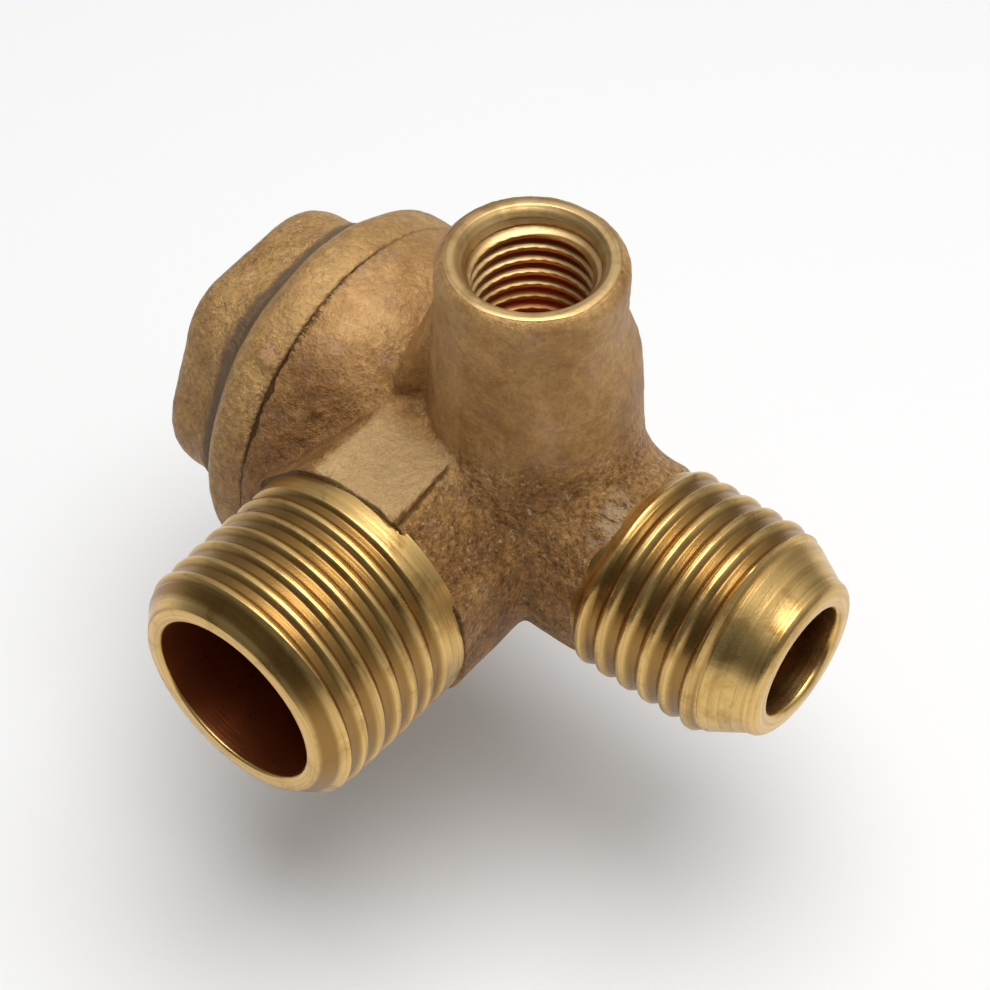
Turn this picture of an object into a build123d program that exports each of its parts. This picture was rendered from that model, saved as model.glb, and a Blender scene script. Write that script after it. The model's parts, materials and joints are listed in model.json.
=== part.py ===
from build123d import *
import math
import os

# Non-return valve of an air compressor, in millimetres.
# The origin is on the outlet's axis, at the shoulder behind the outlet's thread.
# +X runs along the inlet, -Y out of the outlet and +Z out of the unloader port.
# The main axis carries the inlet, the seat, the piston, the spring and the end cap.

# Main axis and outlet
MAIN_AXIS_Y = 15.4
OUTLET_THREAD_DIAMETER = 20.955
OUTLET_THREAD_LENGTH = 14.3
OUTLET_BORE_DIAMETER = 14.7
OUTLET_RIM_DIAMETER = 16.9
OUTLET_LEAD_LENGTH = 1.6
OUTLET_BORE_WALL = 2.0
COLLAR_ACROSS_FLATS = 21.2
COLLAR_EDGE_RADIUS = 0.7

# Body casting about the main axis
MOUTH_X = -12.8
MOUTH_DIAMETER = 31.2
DOME_LENGTH = 13.2
HUB_DIAMETER = 22.0
HUB_END_X = 5.6
NECK_DIAMETER = 16.9
NECK_BLEND_LENGTH = 2.2

# Inlet with its flare nose
INLET_THREAD_DIAMETER = 17.8
INLET_THREAD_START_X = 13.6
INLET_THREAD_END_X = 26.6
INLET_END_X = 30.9
INLET_BORE_DIAMETER = 9.3
NOSE_BASE_DIAMETER = 16.3
NOSE_TIP_DIAMETER = 12.8
NOSE_RIM_DIAMETER = 11.2
NOSE_STEP_LENGTH = 0.35
NOSE_ROUND_LENGTH = 0.7

# Unloader port
UNLOADER_X = 4.5
UNLOADER_TOP_Z = 26.0
UNLOADER_LAND_DIAMETER = 14.3
UNLOADER_LAND_LENGTH = 5.6
UNLOADER_LAND_CHAMFER = 0.6
UNLOADER_STEP_LENGTH = 2.4
UNLOADER_CAST_TOP_DIAMETER = 15.9
UNLOADER_CAST_FOOT_DIAMETER = 17.5
UNLOADER_CAST_FOOT_Z = 5.0
UNLOADER_CAST_SHIFT = 0.3
UNLOADER_THREAD_BORE = 8.8
UNLOADER_THREAD_DEPTH = 12.0
UNLOADER_COUNTERSINK = 11.2
VENT_DIAMETER = 3.0
DRILL_POINT_ANGLE = 118

# Web between the unloader port's boss and the dome
WEB_TURN = -145
WEB_THICKNESS = 3.0
WEB_TOP_REACH = 7.3
WEB_TOP_Z = 19.0
WEB_FOOT_REACH = 11.9
WEB_FOOT_Z = 8.0

# Chamber and seat
CAP_THREAD_BORE = 21.2
CAP_THREAD_DEPTH = 5.5
SEAL_RECESS_DIAMETER = 24.8
SEAL_RECESS_DEPTH = 1.5
CHAMBER_DIAMETER = 20.4
CHAMBER_STEP_X = -5.0
SEAT_CHAMBER_DIAMETER = 17.2
SEAT_FLOOR_X = -0.5
SEAT_HEIGHT = 1.4
SEAT_FOOT_DIAMETER = 12.6
SEAT_LAND_DIAMETER = 10.9

# End cap
CAP_SPIGOT_CLEARANCE = 0.05
CAP_SPIGOT_LENGTH = 5.0
CAP_SPIGOT_CHAMFER = 0.6
CAP_FLANGE_DIAMETER = 31.6
CAP_FLANGE_BACK_DIAMETER = 28.8
CAP_FLANGE_LENGTH = 5.5
CAP_FLANGE_STRAIGHT = 2.6
CAP_FLANGE_EDGE_RADIUS = 0.4
CAP_END_X = -24.6
HEX_ACROSS_FLATS = 23.4
HEX_CORNER_RADIUS = 6.0
HEX_RIM_RADIUS = 2.0
HEX_TURN = 6.4
SPRING_POCKET_DIAMETER = 10.4
SPRING_POCKET_DEPTH = 6.7
GUIDE_DEPTH = 6.0

# Piston, its rubber face, its spring and the cap's sealing ring
LIFT = 2.7
LIFT_MARGIN = 0.15
SEAT_GAP = 0.02
PISTON_DIAMETER = 15.2
STEM_DIAMETER = 4.0
STEM_CLEARANCE = 0.06
STEM_ENGAGEMENT = 2.2
STEM_CHAMFER = 0.4
FACE_DIAMETER = 14.0
FACE_THICKNESS = 1.6
FACE_PROUD = 0.4
FACE_CLEARANCE = 0.02
SPRING_WIRE_DIAMETER = 0.7
SPRING_MEAN_DIAMETER = 7.2
SPRING_END_GAP = 0.02
SPRING_TURNS = 6
SEAL_SECTION_DIAMETER = 1.44
SEAL_RING_CLEARANCE = 0.2

# Places that follow from the sizes above
outlet_bore_end_y = MAIN_AXIS_Y - INLET_BORE_DIAMETER / 2 - OUTLET_BORE_WALL
unloader_land_z = UNLOADER_TOP_Z - UNLOADER_LAND_LENGTH
unloader_cast_z = unloader_land_z - UNLOADER_STEP_LENGTH
unloader_thread_end_z = UNLOADER_TOP_Z - UNLOADER_THREAD_DEPTH
cast_boss_x = UNLOADER_X + UNLOADER_CAST_SHIFT
seat_x = SEAT_FLOOR_X - SEAT_HEIGHT
cap_spigot_end_x = MOUTH_X + CAP_SPIGOT_LENGTH
cap_flange_back_x = MOUTH_X - CAP_FLANGE_LENGTH
spring_pocket_end_x = cap_spigot_end_x - SPRING_POCKET_DEPTH
guide_end_x = spring_pocket_end_x - GUIDE_DEPTH
face_front_x = seat_x - SEAT_GAP
face_back_x = face_front_x - FACE_THICKNESS
piston_front_x = face_front_x - FACE_PROUD
piston_back_x = cap_spigot_end_x + LIFT + LIFT_MARGIN
stem_end_x = spring_pocket_end_x - STEM_ENGAGEMENT
cap_spigot_radius = CAP_THREAD_BORE / 2 - CAP_SPIGOT_CLEARANCE

main_axis = Axis((0, MAIN_AXIS_Y, 0), (1, 0, 0))
outlet_axis = Axis((0, 0, 0), (0, 1, 0))
unloader_axis = Axis((UNLOADER_X, MAIN_AXIS_Y, 0), (0, 0, 1))
cast_boss_axis = Axis((cast_boss_x, MAIN_AXIS_Y, 0), (0, 0, 1))

# On the main section X runs along the main axis and Y is the height above it
main_section = Plane(origin=(0, MAIN_AXIS_Y, 0), x_dir=(1, 0, 0), z_dir=(0, -1, 0))


def across_main_axis(x):
    """A plane across the main axis at x that faces the end cap."""
    return Plane(origin=(x, MAIN_AXIS_Y, 0), x_dir=(0, -1, 0), z_dir=(-1, 0, 0))


def drill_point(diameter):
    """The depth of a drill's point."""
    return diameter / 2 / math.tan(math.radians(DRILL_POINT_ANGLE / 2))


# The dome falls from the mouth to the hub along part of an ellipse
dome_start_angle = math.degrees(math.asin(HUB_DIAMETER / MOUTH_DIAMETER))

# One brass casting with three ports, turned and tapped after casting
with BuildPart() as valve_body:
    # Dome, hub and neck
    with BuildSketch(main_section):
        with BuildLine():
            dome = EllipticalCenterArc(
                (MOUTH_X, 0),
                DOME_LENGTH,
                MOUTH_DIAMETER / 2,
                start_angle=dome_start_angle,
                arc_size=90 - dome_start_angle,
            )
            neck = Polyline(
                dome @ 1,
                (MOUTH_X, 0),
                (INLET_THREAD_START_X, 0),
                (INLET_THREAD_START_X, NECK_DIAMETER / 2),
                (HUB_END_X + NECK_BLEND_LENGTH, NECK_DIAMETER / 2),
            )
            blend = Spline(
                neck @ 1,
                (HUB_END_X, HUB_DIAMETER / 2),
                tangents=((-1, 0), (-1, 0)),
            )
            Line(blend @ 1, dome @ 0)
        make_face()
    revolve(axis=main_axis)

    # Octagonal collar of the outlet
    with BuildSketch(Plane.XZ):
        RegularPolygon(COLLAR_ACROSS_FLATS / 2, 8, major_radius=False, rotation=22.5)
        fillet(vertices(), COLLAR_EDGE_RADIUS)
    extrude(amount=-MAIN_AXIS_Y)

    # Drafted cast boss of the unloader port, a little off its machined land
    with BuildSketch(main_section):
        with BuildLine():
            side = Polyline(
                (cast_boss_x, unloader_land_z),
                (cast_boss_x, 0),
                (cast_boss_x + UNLOADER_CAST_FOOT_DIAMETER / 2, 0),
                (cast_boss_x + UNLOADER_CAST_FOOT_DIAMETER / 2, UNLOADER_CAST_FOOT_Z),
                (cast_boss_x + UNLOADER_CAST_TOP_DIAMETER / 2, unloader_cast_z),
            )
            shoulder = Spline(
                side @ 1,
                (cast_boss_x + UNLOADER_LAND_DIAMETER / 2, unloader_land_z),
                tangents=(side % 1, (0, 1)),
            )
            Line(shoulder @ 1, side @ 0)
        make_face()
    revolve(axis=cast_boss_axis)

    # Web between the boss and the dome
    web_turn = math.radians(WEB_TURN)
    web_plane = Plane(
        unloader_axis.position,
        x_dir=(math.cos(web_turn), math.sin(web_turn), 0),
        z_dir=(math.sin(web_turn), -math.cos(web_turn), 0),
    )
    with BuildSketch(web_plane):
        with BuildLine():
            Polyline(
                (0, WEB_FOOT_Z),
                (WEB_FOOT_REACH, WEB_FOOT_Z),
                (WEB_TOP_REACH, WEB_TOP_Z),
                (0, WEB_TOP_Z),
                close=True,
            )
        make_face()
    extrude(amount=WEB_THICKNESS)

    # Machined land of the unloader port
    with BuildSketch(Plane.XY.offset(unloader_land_z)):
        with Locations((UNLOADER_X, MAIN_AXIS_Y)):
            Circle(UNLOADER_LAND_DIAMETER / 2)
    extrude(amount=UNLOADER_LAND_LENGTH)
    chamfer(edges().group_by(Axis.Z)[-1], UNLOADER_LAND_CHAMFER)

    # Outlet spigot with its lead chamfer
    with BuildSketch(Plane.XY):
        with BuildLine():
            Polyline(
                (0, 0),
                (OUTLET_THREAD_DIAMETER / 2, 0),
                (
                    OUTLET_THREAD_DIAMETER / 2,
                    OUTLET_LEAD_LENGTH - OUTLET_THREAD_LENGTH,
                ),
                (OUTLET_RIM_DIAMETER / 2, -OUTLET_THREAD_LENGTH),
                (0, -OUTLET_THREAD_LENGTH),
                close=True,
            )
        make_face()
    revolve(axis=outlet_axis)

    # Inlet spigot with its flare nose
    with BuildSketch(main_section):
        with BuildLine():
            spigot = Polyline(
                (INLET_END_X, NOSE_RIM_DIAMETER / 2),
                (INLET_END_X, 0),
                (INLET_THREAD_START_X, 0),
                (INLET_THREAD_START_X, INLET_THREAD_DIAMETER / 2),
                (INLET_THREAD_END_X, INLET_THREAD_DIAMETER / 2),
                (INLET_THREAD_END_X + NOSE_STEP_LENGTH, NOSE_BASE_DIAMETER / 2),
                (INLET_END_X - NOSE_ROUND_LENGTH, NOSE_TIP_DIAMETER / 2),
            )
            TangentArc(
                spigot @ 1,
                (INLET_END_X, NOSE_RIM_DIAMETER / 2),
                tangent=spigot % 1,
            )
        make_face()
    revolve(axis=main_axis)

    # Chamber, cap thread and sealing recess, bored from the mouth
    for start_x, end_x, bore in (
        (MOUTH_X, MOUTH_X + SEAL_RECESS_DEPTH, SEAL_RECESS_DIAMETER),
        (MOUTH_X, MOUTH_X + CAP_THREAD_DEPTH, CAP_THREAD_BORE),
        (MOUTH_X, CHAMBER_STEP_X, CHAMBER_DIAMETER),
        (MOUTH_X, SEAT_FLOOR_X, SEAT_CHAMBER_DIAMETER),
    ):
        with BuildSketch(across_main_axis(start_x)):
            Circle(bore / 2)
        extrude(amount=start_x - end_x, mode=Mode.SUBTRACT)

    # Outlet bore, deep enough to open into the chamber beside the seat
    with BuildSketch(Plane.XZ.offset(OUTLET_THREAD_LENGTH)):
        Circle(OUTLET_BORE_DIAMETER / 2)
    extrude(amount=-OUTLET_THREAD_LENGTH - outlet_bore_end_y, mode=Mode.SUBTRACT)

    # Raised seat
    with BuildSketch(main_section):
        with BuildLine():
            Polyline(
                (SEAT_FLOOR_X, 0),
                (SEAT_FLOOR_X, SEAT_FOOT_DIAMETER / 2),
                (seat_x, SEAT_LAND_DIAMETER / 2),
                (seat_x, 0),
                close=True,
            )
        make_face()
    revolve(axis=main_axis)

    # Inlet bore
    with BuildSketch(across_main_axis(INLET_END_X)):
        Circle(INLET_BORE_DIAMETER / 2)
    extrude(amount=INLET_END_X - seat_x, mode=Mode.SUBTRACT)

    # Unloader port: countersink, tapped bore with the drill's point, and vent
    with BuildSketch(Plane(unloader_axis.position, x_dir=(1, 0, 0), z_dir=(0, -1, 0))):
        with BuildLine():
            Polyline(
                (0, 0),
                (VENT_DIAMETER / 2, 0),
                (
                    VENT_DIAMETER / 2,
                    unloader_thread_end_z
                    - drill_point(UNLOADER_THREAD_BORE)
                    + drill_point(VENT_DIAMETER),
                ),
                (UNLOADER_THREAD_BORE / 2, unloader_thread_end_z),
                (
                    UNLOADER_THREAD_BORE / 2,
                    UNLOADER_TOP_Z - (UNLOADER_COUNTERSINK - UNLOADER_THREAD_BORE) / 2,
                ),
                (UNLOADER_COUNTERSINK / 2, UNLOADER_TOP_Z),
                (0, UNLOADER_TOP_Z),
                close=True,
            )
        make_face()
    revolve(axis=unloader_axis, mode=Mode.SUBTRACT)

# Hexagonal cap with a round flange, a threaded spigot and the spring's pocket
with BuildPart() as end_cap:
    with BuildSketch(across_main_axis(cap_flange_back_x + CAP_FLANGE_STRAIGHT)):
        RegularPolygon(HEX_ACROSS_FLATS / 2, 6, major_radius=False, rotation=-HEX_TURN)
        fillet(vertices(), HEX_CORNER_RADIUS)
    extrude(amount=cap_flange_back_x + CAP_FLANGE_STRAIGHT - CAP_END_X)
    fillet(faces().sort_by(Axis.X)[0].edges(), HEX_RIM_RADIUS)

    with BuildSketch(main_section):
        with BuildLine():
            flange = Polyline(
                (cap_flange_back_x, CAP_FLANGE_BACK_DIAMETER / 2),
                (cap_flange_back_x, 0),
                (cap_spigot_end_x, 0),
                (cap_spigot_end_x, cap_spigot_radius - CAP_SPIGOT_CHAMFER),
                (cap_spigot_end_x - CAP_SPIGOT_CHAMFER, cap_spigot_radius),
                (MOUTH_X, cap_spigot_radius),
                (MOUTH_X, CAP_FLANGE_DIAMETER / 2),
                (MOUTH_X - CAP_FLANGE_STRAIGHT, CAP_FLANGE_DIAMETER / 2),
            )
            TangentArc(
                flange @ 1,
                (cap_flange_back_x, CAP_FLANGE_BACK_DIAMETER / 2),
                tangent=flange % 1,
            )
        make_face()
    revolve(axis=main_axis)

    # Spring pocket and the blind guide of the piston's stem
    with BuildSketch(across_main_axis(cap_spigot_end_x)):
        Circle(SPRING_POCKET_DIAMETER / 2)
    extrude(amount=SPRING_POCKET_DEPTH, mode=Mode.SUBTRACT)
    with BuildSketch(across_main_axis(spring_pocket_end_x)):
        Circle(STEM_DIAMETER / 2 + STEM_CLEARANCE)
    extrude(amount=GUIDE_DEPTH, mode=Mode.SUBTRACT)

# Sealing ring between the cap's flange and the mouth
seal_centre_radius = (
    CAP_THREAD_BORE / 2 + SEAL_RING_CLEARANCE + SEAL_SECTION_DIAMETER / 2
)
with BuildPart() as cap_seal_ring:
    with BuildSketch(main_section):
        with Locations((MOUTH_X + SEAL_RECESS_DEPTH / 2, seal_centre_radius)):
            Circle(SEAL_SECTION_DIAMETER / 2)
    revolve(axis=main_axis)

# Piston: a cupped head that holds the rubber face, and a stem guided in the cap
face_pocket_radius = FACE_DIAMETER / 2 + FACE_CLEARANCE
with BuildPart() as valve_piston:
    with BuildSketch(main_section):
        with BuildLine():
            Polyline(
                (face_back_x - FACE_CLEARANCE, 0),
                (face_back_x - FACE_CLEARANCE, face_pocket_radius),
                (piston_front_x, face_pocket_radius),
                (piston_front_x, PISTON_DIAMETER / 2),
                (piston_back_x, PISTON_DIAMETER / 2),
                (piston_back_x, STEM_DIAMETER / 2),
                (stem_end_x + STEM_CHAMFER, STEM_DIAMETER / 2),
                (stem_end_x, STEM_DIAMETER / 2 - STEM_CHAMFER),
                (stem_end_x, 0),
                close=True,
            )
        make_face()
    revolve(axis=main_axis)

# Rubber face that closes on the seat
with BuildPart() as seat_disc:
    with BuildSketch(across_main_axis(face_front_x)):
        Circle(FACE_DIAMETER / 2)
    extrude(amount=FACE_THICKNESS)

# Closing spring between the piston's head and the bottom of the pocket
spring_start_x = piston_back_x - SPRING_END_GAP - SPRING_WIRE_DIAMETER / 2
spring_end_x = spring_pocket_end_x + SPRING_END_GAP + SPRING_WIRE_DIAMETER / 2
spring_length = spring_start_x - spring_end_x
with BuildPart() as valve_spring:
    with BuildLine() as spring_path:
        Helix(
            pitch=spring_length / SPRING_TURNS,
            height=spring_length,
            radius=SPRING_MEAN_DIAMETER / 2,
            center=(spring_start_x, MAIN_AXIS_Y, 0),
            direction=(-1, 0, 0),
        )
    with BuildSketch(spring_path.line ^ 0):
        Circle(SPRING_WIRE_DIAMETER / 2)
    sweep(is_frenet=True)

sub_parts = {
    "valve_body": valve_body,
    "end_cap": end_cap,
    "cap_seal_ring": cap_seal_ring,
    "valve_piston": valve_piston,
    "seat_disc": seat_disc,
    "valve_spring": valve_spring,
}
os.makedirs("parts", exist_ok=True)
for name, sub_part in sub_parts.items():
    sub_part.part.label = name
    export_step(sub_part.part, f"parts/{name}.step")
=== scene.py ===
"""The looks of an air compressor's non-return valve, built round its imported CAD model.

The casting and its cap are meshed from distance fields, so that their webs blend as a casting's do.
The ports are lathed rings whose radius follows the thread's helix.
Lengths are in millimetres until a mesh is made, in the frame of the CAD model.
"""

import json
import math

import bpy
import numpy as np
from mathutils import Matrix, Vector, noise


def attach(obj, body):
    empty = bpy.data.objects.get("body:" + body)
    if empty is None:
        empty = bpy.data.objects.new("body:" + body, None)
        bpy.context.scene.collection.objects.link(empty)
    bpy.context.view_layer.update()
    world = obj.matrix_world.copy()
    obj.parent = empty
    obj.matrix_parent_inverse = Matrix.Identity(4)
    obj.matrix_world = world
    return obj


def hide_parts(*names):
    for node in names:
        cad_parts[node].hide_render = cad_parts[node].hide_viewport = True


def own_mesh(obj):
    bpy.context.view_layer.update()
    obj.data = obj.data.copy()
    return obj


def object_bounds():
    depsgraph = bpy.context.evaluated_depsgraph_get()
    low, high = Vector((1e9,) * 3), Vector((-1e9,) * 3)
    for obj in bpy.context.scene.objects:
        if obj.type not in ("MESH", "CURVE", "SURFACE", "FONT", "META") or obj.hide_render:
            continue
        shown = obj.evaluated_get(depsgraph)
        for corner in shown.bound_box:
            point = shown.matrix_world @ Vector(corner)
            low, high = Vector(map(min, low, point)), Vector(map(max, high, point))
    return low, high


MM = 0.001
FAR = 1e3

# The photograph, read as a perspective view
CAMERA_PLACE = (84.842, -87.239, 149.042)
CAMERA_TARGET = (0.993, 15.4, -2.365)
CAMERA_ROLL = math.radians(-0.124)
CAMERA_LENS = 90.67
SENSOR = 36.0

# Light: the world's strength from above, from the front and from behind. The lamp's and the
# floor's lengths are in metres.
SKY_WAY = (0.05, 0.15, 0.987)
SKY_LIGHT = 0.52
FRONT_LIGHT = 0.05
BACK_LIGHT = 0.28
KEY_PLACE = (0.06, 0.02, 0.46)
KEY_SIZE = 0.40
KEY_POWER = 1.68
FLOOR_DROP = 0.016
FLOOR_REACH = 3.0
FLOOR_PAINT = (0.94, 0.94, 0.94, 1)

# Casting about the main axis
MOUTH_X = -12.8
SEAM_X = -12.25
SEAM_STEP_RADIUS = 12.8
SEAM_STEP_WIDTH = 0.5
MOUTH_RADIUS = 15.6
DOME_LENGTH = 13.2
HUB_RADIUS = 11.0
HUB_FALL = (8.2, 5.0)
NECK_RADIUS = 8.35
NECK_DROP = 0.2
NECK_DROP_RUN = (7.0, 11.0)
NECK_END_X = 15.2
NECK_END_FALL = 0.3
NECK_END_RUN = 1.2
NECK_TOP_REACH = 1.2
NECK_TOP_SIDE = (0.2, 0.95)

# Waves of the neck's ragged end: height, number in a turn and phase
NECK_WAVES = ((0.25, 5, 0.6), (0.2, 11, 2.0))

# Outlet's collar
COLLAR_APOTHEM = 10.6
COLLAR_LOW_APOTHEM = 9.95
COLLAR_FLAT_EDGE = 4.05
COLLAR_FLAT_TAPER = 0.087
COLLAR_FLAT_FOOT_Z = 8
COLLAR_ROUND_RADIUS = 10.7
COLLAR_ROUND_GROWTH = 1.3
COLLAR_ROUND_RISE = (3.0, 7.0)

# Unloader port's boss, and the web beside it as distances out of the port's axis and heights
BOSS_FOOT_RADIUS = 8.6
BOSS_TOP_RADIUS = 7.9
BOSS_DRAFT_FOOT_Z = 5
BOSS_DRAFT_LENGTH = 12
BOSS_SHOULDER_Z = 16.0
BOSS_LAND_Z = 20.8
BOSS_SHIFT = (0.3, 0.25)
BOSS_SHIFT_TOP_Z = 17.0
BOSS_TOP_GAP = 0.08
BEVEL_SHARE = 0.7
WEB_ANGLE = math.radians(-145)
WEB_HALF_THICKNESS = 1.5
WEB_TOP = (7.3, 19.0)
WEB_FOOT = (10.84, 10.6)
WEB_LOW_Z = 5

# Reach of the blends between forms and of the rounded edges
HUB_BLEND = 1.5
BOSS_BLEND = 1.8
BOSS_BLEND_GROWTH = 0.5
BOSS_BLEND_RUN = (8.0, 12.0)
COLLAR_BLEND = 0.6
WEB_BLEND = 0.5
NODULE_BLEND = 0.3
HEX_BLEND = 3.0
SPIGOT_BLEND = 0.15
EDGE = 0.25
SHARP_EDGE = 0.2
BEVEL_EDGE = 0.3
COLLAR_EDGE = 0.5
COLLAR_ROUND_EDGE = 0.4
COLLAR_FACE_EDGE = 0.15
FLANGE_BACK_EDGE = 0.8
SPIGOT_EDGE = 0.8
HEX_RIM_EDGE = 3.4

# Casting flaws that stand proud of the dome and the cap's flange
DOME_NODULE = (-8.1, 4.97, 10.18)
FLANGE_NODULES = ((-13.9, 5.31, 12.03), (-13.0, 5.10, 11.85))
NODULE_RADIUS = 0.45

# Ports
OUTLET_END = -14.3
OUTLET_BORE_RADIUS = 7.35
OUTLET_BORE_END = 8.75
OUTLET_RIM_RADIUS = 8.45
OUTLET_LEAD_RADIUS = 9.9
OUTLET_LEAD_LENGTH = 1.6
OUTLET_LEAD_RISE = 0.1
OUTLET_RIM_ROUND = 0.25
OUTLET_RING_RADIUS = 10.45
OUTLET_RING_LENGTH = 1.6
OUTLET_SUNK_END = 0.5
OUTLET_BORE_START = -13.9
OUTLET_PITCH = 1.814
OUTLET_THREAD_DEPTH = 0.36
OUTLET_TAPER = 1 / 32
OUTLET_GAUGE_PLACE = -6.1
OUTLET_GAUGE_RADIUS = 10.4775
INLET_END = 30.9
INLET_BORE_RADIUS = 4.65
INLET_PITCH = 2.0
INLET_CREST_RADIUS = 8.78
INLET_THREAD_DEPTH = 0.40
INLET_THREAD_START = 13.9
INLET_THREAD_RISE = 2.4
INLET_THREAD_END = 26.6
INLET_SUNK_END = 12.6
INLET_SUNK_DEPTH = 0.35
INLET_SUNK_INNER = 7.0
INLET_BORE_START = 30.3
INLET_SHADE_START, INLET_SHADE_FULL = 30.4, 28.0
NOSE_FOOT_RADIUS = 8.1
NOSE_BEVEL_SLOPE = 1.3
NOSE_CONE = ((27.0, 8.26), (27.4, 8.04), (28.2, 7.59), (29.0, 7.15), (29.7, 6.76))
NOSE_RIM_CENTRE = (29.85, 5.68)
NOSE_RIM_RADIUS = 1.05
NOSE_LAND_RADIUS = 5.35
NOSE_BORE_ROUND = 0.45
PORT_RADIUS = 7.14
PORT_LAND_INNER = 5.6
PORT_LAND_OUTER = 6.45
PORT_LAND_DEPTH = 1.5
PORT_SINK_RADIUS = 5.0
PORT_SINK_DEPTH = 0.8
PORT_SINK_SLOPE = 0.6
PORT_PITCH = 1.25
PORT_THREAD_SHARE = 0.54
PORT_THREAD_END = 14.0
PORT_DRILL_END = 12.26
PORT_FOOT_Z = 11.9
PORT_FOOT_RADIUS = 5.0
VENT_RADIUS = 1.5

# Share of a thread's pitch that its crest and its root take, in the male and the tapped threads
MALE_CREST, MALE_ROOT = 0.16, 0.34
TAPPED_CREST, TAPPED_ROOT = 0.20, 0.24
FLANK_ROUND = 0.4

# Uneven edges of the ports: seed of their waves, and height in millimetres
OUTLET_NICKS = (5, 0.1)
INLET_NICKS = (11, 0.2)
PORT_NICKS = (3, 0.04)

# How far the rings' walls stand off the casting's own
SKIN_GAP = 0.01

# Fineness of the ports' rings: points round the axis, and millimetres from row to row
OUTLET_SEGMENTS, OUTLET_ROW = 216, 0.062
INLET_SEGMENTS, INLET_ROW = 200, 0.064
PORT_SEGMENTS, PORT_ROW = 160, 0.045

# Chamber, seat and bores: places along their axes, and radii
SEAL_RECESS_RADIUS = 12.4
SEAL_RECESS_END = -11.3
CAP_THREAD_RADIUS = 10.6
CAP_THREAD_END = -7.3
CHAMBER_RADIUS = 10.2
CHAMBER_END = -5.0
SEAT_CHAMBER_RADIUS = 8.6
SEAT_FLOOR = -0.5
SEAT_X = -1.9
SEAT_FOOT_RADIUS = 6.3
SEAT_LAND_RADIUS = 5.45
SEAT_ROOT = 3
INLET_BORE_CUT = 18
TAPPED_HOLE_FLOOR = 12.1
TAPPED_HOLE_GAP = 0.7
LAND_RECESS = 1.3
LAND_RECESS_GAP = 0.3
ABOVE_PORT = 30
VENT_TOP = 14

# Cap
CAP_END_X = -24.45
FLANGE_RADIUS = 15.72
FLANGE_SEAM_FALL = 0.25
FLANGE_SEAM_FALL_X = -14.0
FLANGE_BACK_FALL = 2.7
FLANGE_BACK_RUN = 2.3
FLANGE_BACK_POWER = 1.8
FLANGE_FULL_X = -15.1
FLANGE_END_X = -17.7
HEX_APOTHEM = 11.7
HEX_CORNER_RADIUS = 6.0
HEX_TURN = math.radians(6.4)
HEX_FRONT_GAP = 0.5
SPIGOT_RADIUS = 10.55
SPIGOT_START_X = -16
SPIGOT_END_X = -7.8
POCKET_RADIUS = 5.2
POCKET_END_X = -14.5
GUIDE_RADIUS = 2.06
GUIDE_END_X = -20.5

# Grids: their steps, and what they take in past the pieces
CAST_STEP = 0.34
CAP_STEP = 0.36
GRID_MARGIN = 0.6
CAST_NEAR_Y, CAST_FAR_Y = -0.7, 31.6
CAST_LOW_Z = -16.3
CAST_RIGHT_X = 17.4

# Cast skin: height, length and seed of its slow waves and of its fine roughness
WAVE_HEIGHT, WAVE_LENGTH, WAVE_SEED = 0.10, 6.0, 3.1
ROUGHNESS_HEIGHT, ROUGHNESS_LENGTH, ROUGHNESS_SEED = 0.04, 0.9, 7.7

# Colours: three tones of each casting from dark to pale, and what lies on or replaces them
BODY_TONES = ((0.320, 0.160, 0.044), (0.430, 0.236, 0.076), (0.520, 0.305, 0.115))
CAP_TONES = ((0.350, 0.190, 0.058), (0.460, 0.268, 0.090), (0.530, 0.325, 0.120))
BLUSH = (0.40, 0.225, 0.130)
# Painted glints on the coarse skin, and the pale chips where the inlet's thread cuts it
FLECK_AND_GLINT = (0.68, 0.49, 0.29)
# The collar's flat: a cleaner brass, and painted light that makes it paler
CLEAN_LIT_BRASS = (0.72, 0.50, 0.24)
# Painted shade, multiplied in on the castings' lower sides and in the crease between dome and
# collar
LOW_SHADE = (0.56, 0.47, 0.36)
# The dark seam, and the painted shadows below the collar flat's step and at the outlet's ring
SEAM_AND_SHADOW_BROWN = (0.060, 0.026, 0.009)
GROOVE_GREY = (0.150, 0.105, 0.072)
# Painted shade in the casting's chamber and bores, almost black
CAST_BORE_BROWN = (0.035, 0.012, 0.004)
BRASS_TINT = (0.70, 0.46, 0.165)
PORT_TINT = (0.68, 0.46, 0.205)
# Painted shade in the threads' roots, and a redder one in the turned bores
ROOT_BROWN = (0.270, 0.140, 0.034)
BORE_BROWN = (0.600, 0.180, 0.065)
DULL_SHARES = (0.72, 0.66, 0.55)
RUBBER_TONES = ((0.012, 0.012, 0.013), (0.04, 0.04, 0.042))
STEEL_TONES = ((0.36, 0.36, 0.38), (0.62, 0.62, 0.65))
WHITE = (1.0, 1.0, 1.0)

# Share of painted shade in the bores and in the threads' roots
BORE_SHADE = 0.8
ROOT_SHADE = 0.5

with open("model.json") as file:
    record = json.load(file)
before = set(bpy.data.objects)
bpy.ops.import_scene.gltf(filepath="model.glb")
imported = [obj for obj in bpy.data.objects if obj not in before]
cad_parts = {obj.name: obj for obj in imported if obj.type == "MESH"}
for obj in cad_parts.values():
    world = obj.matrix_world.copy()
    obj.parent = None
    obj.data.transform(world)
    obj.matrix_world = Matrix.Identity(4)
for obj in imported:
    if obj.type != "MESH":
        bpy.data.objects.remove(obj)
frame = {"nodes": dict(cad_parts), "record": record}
cad_low, cad_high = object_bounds()
mounts = {mount["name"]: mount for mount in frame["record"]["mounts"]}
main_y = mounts["inlet_thread"]["pos_m"][1] / MM
port_x = mounts["unloader_port"]["pos_m"][0] / MM
port_minor_radius = mounts["unloader_port"]["dims"]["r_mm"]
port_top = cad_high.z / MM

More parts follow.
